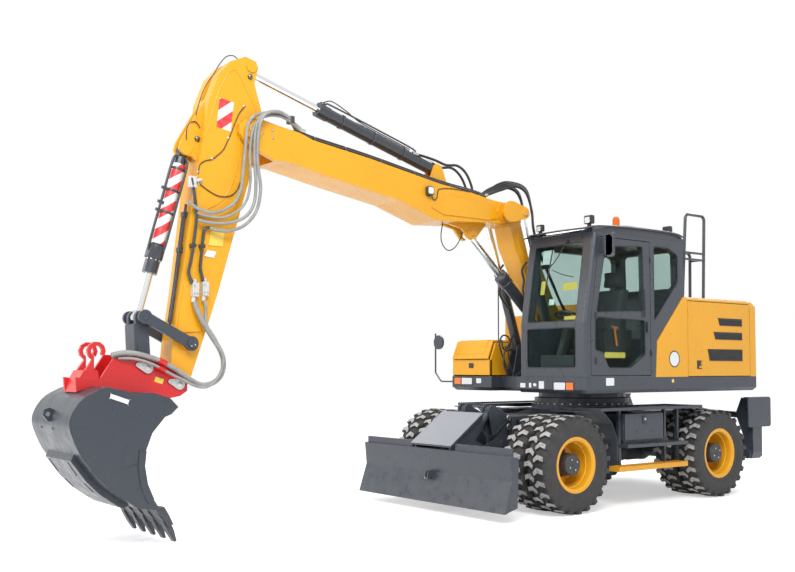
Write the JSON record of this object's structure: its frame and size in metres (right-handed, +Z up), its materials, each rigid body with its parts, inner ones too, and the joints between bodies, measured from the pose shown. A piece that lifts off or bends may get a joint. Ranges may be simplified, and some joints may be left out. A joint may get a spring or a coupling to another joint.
{
  "type": "wheeled excavator",
  "caption": "Wheeled excavator with a two-piece boom, twin tyres, a front blade, rear outriggers and a cab on a slewing upper structure.",
  "frame": {"origin": "on the ground under the slew axis", "axes": "+X towards the blade and bucket, +Y to the machine's left, +Z up"},
  "size_m": [8.87, 2.9108, 4.592],
  "materials": {
    "yellow_paint": "gloss",
    "grey_paint": "satin",
    "red_paint": "satin",
    "bucket_paint": "satin",
    "rubber": "matte",
    "chrome": "polished",
    "glass": "clear",
    "fabric": "woven",
    "plastic": "matte",
    "iron": "rough",
    "steel": "satin"
  },
  "bodies": {
    "chassis": {"chassis_frame": "grey_paint", "front_axle": "grey_paint", "rear_axle": "grey_paint", "side_steps": "grey_paint", "tool_boxes": "grey_paint"},
    "steering_rod": {"steering_rod": "chrome"},
    "knuckle_left": {"knuckle_left": "grey_paint"},
    "knuckle_right": {"knuckle_right": "grey_paint"},
    "wheels_front_left": {"tyres_front_left": "rubber", "rims_front_left": "yellow_paint"},
    "wheels_front_right": {"tyres_front_right": "rubber", "rims_front_right": "yellow_paint"},
    "wheels_rear_left": {"tyres_rear_left": "rubber", "rims_rear_left": "yellow_paint"},
    "wheels_rear_right": {"tyres_rear_right": "rubber", "rims_rear_right": "yellow_paint"},
    "tool_box_lid_left": {"tool_box_lid_left": "grey_paint"},
    "tool_box_lid_right": {"tool_box_lid_right": "grey_paint"},
    "blade": {"blade": "grey_paint"},
    "blade_barrels": {"blade_barrels": "grey_paint"},
    "blade_rods": {"blade_rods": "chrome"},
    "outrigger_left": {"outrigger_left": "grey_paint"},
    "outrigger_right": {"outrigger_right": "grey_paint"},
    "outrigger_barrel_left": {"outrigger_barrel_left": "grey_paint"},
    "outrigger_barrel_right": {"outrigger_barrel_right": "grey_paint"},
    "outrigger_rod_left": {"outrigger_rod_left": "chrome"},
    "outrigger_rod_right": {"outrigger_rod_right": "chrome"},
    "upper_structure": {"deck": "grey_paint", "counterweight": "yellow_paint", "hood_panels": "yellow_paint", "engine": "iron", "right_body": "yellow_paint", "cab_shell": "yellow_paint", "cab_glass": "glass", "operator_station": "plastic", "seat_cushions": "fabric", "rails": "grey_paint", "lamps": "plastic"},
    "engine_door_left": {"engine_door_left": "yellow_paint"},
    "engine_door_right": {"engine_door_right": "yellow_paint"},
    "engine_hood": {"engine_hood": "yellow_paint"},
    "locker_lid": {"locker_lid": "yellow_paint"},
    "cab_door": {"cab_door": "yellow_paint", "door_glass": "glass"},
    "lower_boom": {"lower_boom": "yellow_paint"},
    "lift_barrels": {"lift_barrels": "grey_paint"},
    "lift_rods": {"lift_rods": "chrome"},
    "upper_boom": {"upper_boom": "yellow_paint"},
    "adjust_barrel": {"adjust_barrel": "grey_paint"},
    "adjust_rod": {"adjust_rod": "chrome"},
    "arm": {"arm": "yellow_paint"},
    "arm_barrel": {"arm_barrel": "grey_paint"},
    "arm_rod": {"arm_rod": "chrome"},
    "idler_links": {"idler_links": "grey_paint"},
    "tipping_link": {"tipping_link": "grey_paint"},
    "bucket_barrel": {"bucket_barrel": "grey_paint"},
    "bucket_rod": {"bucket_rod": "chrome"},
    "bucket": {"quick_coupler": "red_paint", "bucket": "bucket_paint"}
  },
  "joints": [
    {"name": "slew", "type": "hinge", "parent": "chassis", "child": "upper_structure", "pos_m": [0, 0, 1.196], "axis": [0, 0, 1], "continuous": true},
    {"name": "steer_left", "type": "hinge", "parent": "chassis", "child": "knuckle_left", "pos_m": [1.431, 0.5, 0.527], "axis": [0, 0, 1], "range_deg": [-25, 25]},
    {"name": "steer_right", "type": "hinge", "parent": "chassis", "child": "knuckle_right", "pos_m": [1.431, -0.5, 0.527], "axis": [0, 0, 1], "range_deg": [-25.5, 25.5]},
    {"name": "steering_rod_slide", "type": "slide", "parent": "chassis", "child": "steering_rod", "axis": [0, -1, 0], "range_m": [-0.0984, 0.0984]},
    {"name": "wheel_front_left", "type": "hinge", "parent": "knuckle_left", "child": "wheels_front_left", "pos_m": [1.431, 0.94, 0.527], "axis": [0, 1, 0], "continuous": true},
    {"name": "wheel_front_right", "type": "hinge", "parent": "knuckle_right", "child": "wheels_front_right", "pos_m": [1.431, -0.94, 0.527], "axis": [0, 1, 0], "continuous": true},
    {"name": "wheel_rear_left", "type": "hinge", "parent": "chassis", "child": "wheels_rear_left", "pos_m": [-1.089, 0.94, 0.527], "axis": [0, 1, 0], "continuous": true},
    {"name": "wheel_rear_right", "type": "hinge", "parent": "chassis", "child": "wheels_rear_right", "pos_m": [-1.089, -0.94, 0.527], "axis": [0, 1, 0], "continuous": true},
    {"name": "blade_lift", "type": "hinge", "parent": "chassis", "child": "blade", "pos_m": [1.64, 0, 0.72], "axis": [0, -1, 0], "range_deg": [-15, 20]},
    {"name": "blade_cylinder_swing", "type": "hinge", "parent": "chassis", "child": "blade_barrels", "pos_m": [1.74, 0, 1.085], "axis": [0, -1, 0], "range_deg": [-11.13, 14.67]},
    {"name": "blade_cylinder_stroke", "type": "slide", "parent": "blade_barrels", "child": "blade_rods", "axis": [0.659, 0, -0.7521], "range_m": [-0.1143, 0.0862]},
    {"name": "outrigger_left_swing", "type": "hinge", "parent": "chassis", "child": "outrigger_left", "pos_m": [-2, 1.08, 0.47], "axis": [-1, 0, 0], "range_deg": [0, 123]},
    {"name": "outrigger_cylinder_left_swing", "type": "hinge", "parent": "chassis", "child": "outrigger_barrel_left", "pos_m": [-2, 0.06, 0.99], "axis": [-1, 0, 0], "range_deg": [-0.5, 19.57]},
    {"name": "outrigger_cylinder_left_stroke", "type": "slide", "parent": "outrigger_barrel_left", "child": "outrigger_rod_left", "axis": [0, 0.999, -0.0439], "range_m": [-0.002, 0.8167]},
    {"name": "tool_box_lid_left_lift", "type": "hinge", "parent": "chassis", "child": "tool_box_lid_left", "pos_m": [0.19, 1.13, 0.74], "axis": [-1, 0, 0], "range_deg": [0, 90]},
    {"name": "outrigger_right_swing", "type": "hinge", "parent": "chassis", "child": "outrigger_right", "pos_m": [-2, -1.08, 0.47], "axis": [1, 0, 0], "range_deg": [0, 123]},
    {"name": "outrigger_cylinder_right_swing", "type": "hinge", "parent": "chassis", "child": "outrigger_barrel_right", "pos_m": [-2, -0.06, 0.99], "axis": [1, 0, 0], "range_deg": [-0.5, 19.57]},
    {"name": "outrigger_cylinder_right_stroke", "type": "slide", "parent": "outrigger_barrel_right", "child": "outrigger_rod_right", "axis": [0, -0.999, -0.0439], "range_m": [-0.002, 0.8167]},
    {"name": "tool_box_lid_right_lift", "type": "hinge", "parent": "chassis", "child": "tool_box_lid_right", "pos_m": [0.19, -1.13, 0.74], "axis": [1, 0, 0], "range_deg": [0, 90]},
    {"name": "cab_door_swing", "type": "hinge", "parent": "upper_structure", "child": "cab_door", "pos_m": [0.197, 1.256, 2.2], "axis": [0, 0, 1], "range_deg": [0, 150]},
    {"name": "engine_door_left_swing", "type": "hinge", "parent": "upper_structure", "child": "engine_door_left", "pos_m": [-1.716, 1.256, 1.9], "axis": [0, 0, 1], "range_deg": [0, 110]},
    {"name": "engine_door_right_swing", "type": "hinge", "parent": "upper_structure", "child": "engine_door_right", "pos_m": [-1.716, -1.256, 1.9], "axis": [0, 0, -1], "range_deg": [0, 110]},
    {"name": "engine_hood_lift", "type": "hinge", "parent": "upper_structure", "child": "engine_hood", "pos_m": [-1.258, 0, 2.406], "axis": [0, 1, 0], "range_deg": [0, 60]},
    {"name": "locker_lid_lift", "type": "hinge", "parent": "upper_structure", "child": "locker_lid", "pos_m": [0.396, -0.89, 1.904], "axis": [0, -1, 0], "range_deg": [0, 75]},
    {"name": "boom_lift", "type": "hinge", "parent": "upper_structure", "child": "lower_boom", "pos_m": [0.28, -0.15, 1.88], "axis": [0, -1, 0], "range_deg": [-50, 28]},
    {"name": "lift_cylinder_swing", "type": "hinge", "parent": "upper_structure", "child": "lift_barrels", "pos_m": [0.66, -0.15, 1.8], "axis": [0, -1, 0], "range_deg": [-53.9, 30.4]},
    {"name": "lift_cylinder_stroke", "type": "slide", "parent": "lift_barrels", "child": "lift_rods", "axis": [0.3086, 0, 0.9512], "range_m": [-0.2921, 0.1644]},
    {"name": "boom_adjust", "type": "hinge", "parent": "lower_boom", "child": "upper_boom", "pos_m": [1.38, -0.15, 3.37], "axis": [0, 1, 0], "range_deg": [-25, 40]},
    {"name": "adjust_cylinder_swing", "type": "hinge", "parent": "lower_boom", "child": "adjust_barrel", "pos_m": [0.66, -0.15, 2.152], "axis": [0, 1, 0], "range_deg": [-1.44, 2.01]},
    {"name": "adjust_cylinder_stroke", "type": "slide", "parent": "adjust_barrel", "child": "adjust_rod", "axis": [0.7481, 0, 0.6636], "range_m": [-0.2992, 0.1877]},
    {"name": "arm_swing", "type": "hinge", "parent": "upper_boom", "child": "arm", "pos_m": [4.7, -0.15, 3.875], "axis": [0, -1, 0], "range_deg": [-35, 60]},
    {"name": "arm_cylinder_swing", "type": "hinge", "parent": "upper_boom", "child": "arm_barrel", "pos_m": [2.249, -0.15, 3.801], "axis": [0, -1, 0], "range_deg": [-0.91, 1.21]},
    {"name": "arm_cylinder_stroke", "type": "slide", "parent": "arm_barrel", "child": "arm_rod", "axis": [0.9608, 0, 0.2771], "range_m": [-0.5957, 0.3483]},
    {"name": "bucket_curl", "type": "hinge", "parent": "arm", "child": "bucket", "pos_m": [5.409, -0.15, 1.407], "axis": [0, 1, 0], "range_deg": [-45, 100]},
    {"name": "idler_swing", "type": "hinge", "parent": "arm", "child": "idler_links", "pos_m": [5.301, -0.15, 1.783], "axis": [0, 1, 0], "range_deg": [-31.39, 69.15]},
    {"name": "tipping_link_swing", "type": "hinge", "parent": "idler_links", "child": "tipping_link", "pos_m": [5.757, -0.15, 2.018], "axis": [0, 1, 0], "range_deg": [-53.75, 24.46]},
    {"name": "bucket_cylinder_swing", "type": "hinge", "parent": "arm", "child": "bucket_barrel", "pos_m": [5.325, -0.15, 3.62], "axis": [0, 1, 0], "range_deg": [-1.33, 2.35]},
    {"name": "bucket_cylinder_stroke", "type": "slide", "parent": "bucket_barrel", "child": "bucket_rod", "axis": [0.2604, 0, -0.9655], "range_m": [-0.2459, 0.5441]}
  ],
  "couplings": [
    {"joint": "steer_right", "follows": "steer_left", "ratio": 1},
    {"joint": "steering_rod_slide", "follows": "steer_left", "m_per_rad": 0.221},
    {"joint": "blade_cylinder_swing", "follows": "blade_lift", "ratio": 0.7086},
    {"joint": "blade_cylinder_stroke", "follows": "blade_lift", "m_per_rad": -0.3216},
    {"joint": "outrigger_cylinder_left_swing", "follows": "outrigger_left_swing", "ratio": 0.155},
    {"joint": "outrigger_cylinder_left_stroke", "follows": "outrigger_left_swing", "m_per_rad": 0.3795},
    {"joint": "outrigger_cylinder_right_swing", "follows": "outrigger_right_swing", "ratio": 0.155},
    {"joint": "outrigger_cylinder_right_stroke", "follows": "outrigger_right_swing", "m_per_rad": 0.3795},
    {"joint": "lift_cylinder_swing", "follows": "boom_lift", "ratio": 1.0679},
    {"joint": "lift_cylinder_stroke", "follows": "boom_lift", "m_per_rad": 0.3324},
    {"joint": "adjust_cylinder_swing", "follows": "boom_adjust", "ratio": 0.0377},
    {"joint": "adjust_cylinder_stroke", "follows": "boom_adjust", "m_per_rad": -0.4257},
    {"joint": "arm_cylinder_swing", "follows": "arm_swing", "ratio": 0.0118},
    {"joint": "arm_cylinder_stroke", "follows": "arm_swing", "m_per_rad": -0.5669},
    {"joint": "idler_swing", "follows": "bucket_curl", "ratio": 0.6865},
    {"joint": "tipping_link_swing", "follows": "bucket_curl", "ratio": -0.5325},
    {"joint": "bucket_cylinder_swing", "follows": "bucket_curl", "ratio": 0.0185},
    {"joint": "bucket_cylinder_stroke", "follows": "bucket_curl", "m_per_rad": 0.3106}
  ]
}
